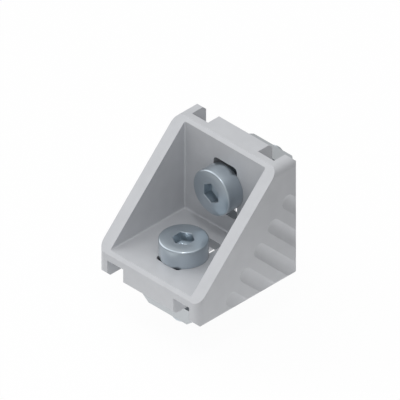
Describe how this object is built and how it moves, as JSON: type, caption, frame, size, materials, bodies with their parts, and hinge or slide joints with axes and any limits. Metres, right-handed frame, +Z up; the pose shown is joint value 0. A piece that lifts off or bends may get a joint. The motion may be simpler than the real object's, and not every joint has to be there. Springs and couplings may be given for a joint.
{
  "type": "t slot corner bracket",
  "caption": "Die-cast gusseted corner bracket for slotted aluminium profile, with low-head socket screws and quarter-turn hammer-head slot nuts.",
  "frame": {"origin": "mid-width of the right-angle corner, where the contact planes of the two legs meet", "axes": "+X across the width, -Y out along the base leg, +Z up along the back leg; the base contact plane is Z = 0 and the back contact plane is Y = 0"},
  "size_m": [0.0286, 0.0366, 0.0366],
  "materials": {
    "cast_aluminium": "tumbled die casting, satin grey",
    "zinc_screw": "smooth blue zinc plating",
    "zinc_nut": "smooth zinc plating, slightly paler than the screws"
  },
  "bodies": {
    "bracket": {"bracket": "cast_aluminium"},
    "base_fastener": {"base_screw": "zinc_screw", "base_nut": "zinc_nut"},
    "back_fastener": {"back_screw": "zinc_screw", "back_nut": "zinc_nut"}
  },
  "joints": [
    {"name": "base_lock", "type": "hinge", "parent": "bracket", "child": "base_fastener", "pos_m": [0, -0.018, 0.0063], "axis": [0, 0, 1], "range_deg": [0, 90]},
    {"name": "back_lock", "type": "hinge", "parent": "bracket", "child": "back_fastener", "pos_m": [0, -0.0063, 0.01735], "axis": [0, -1, 0], "range_deg": [0, 90]}
  ]
}
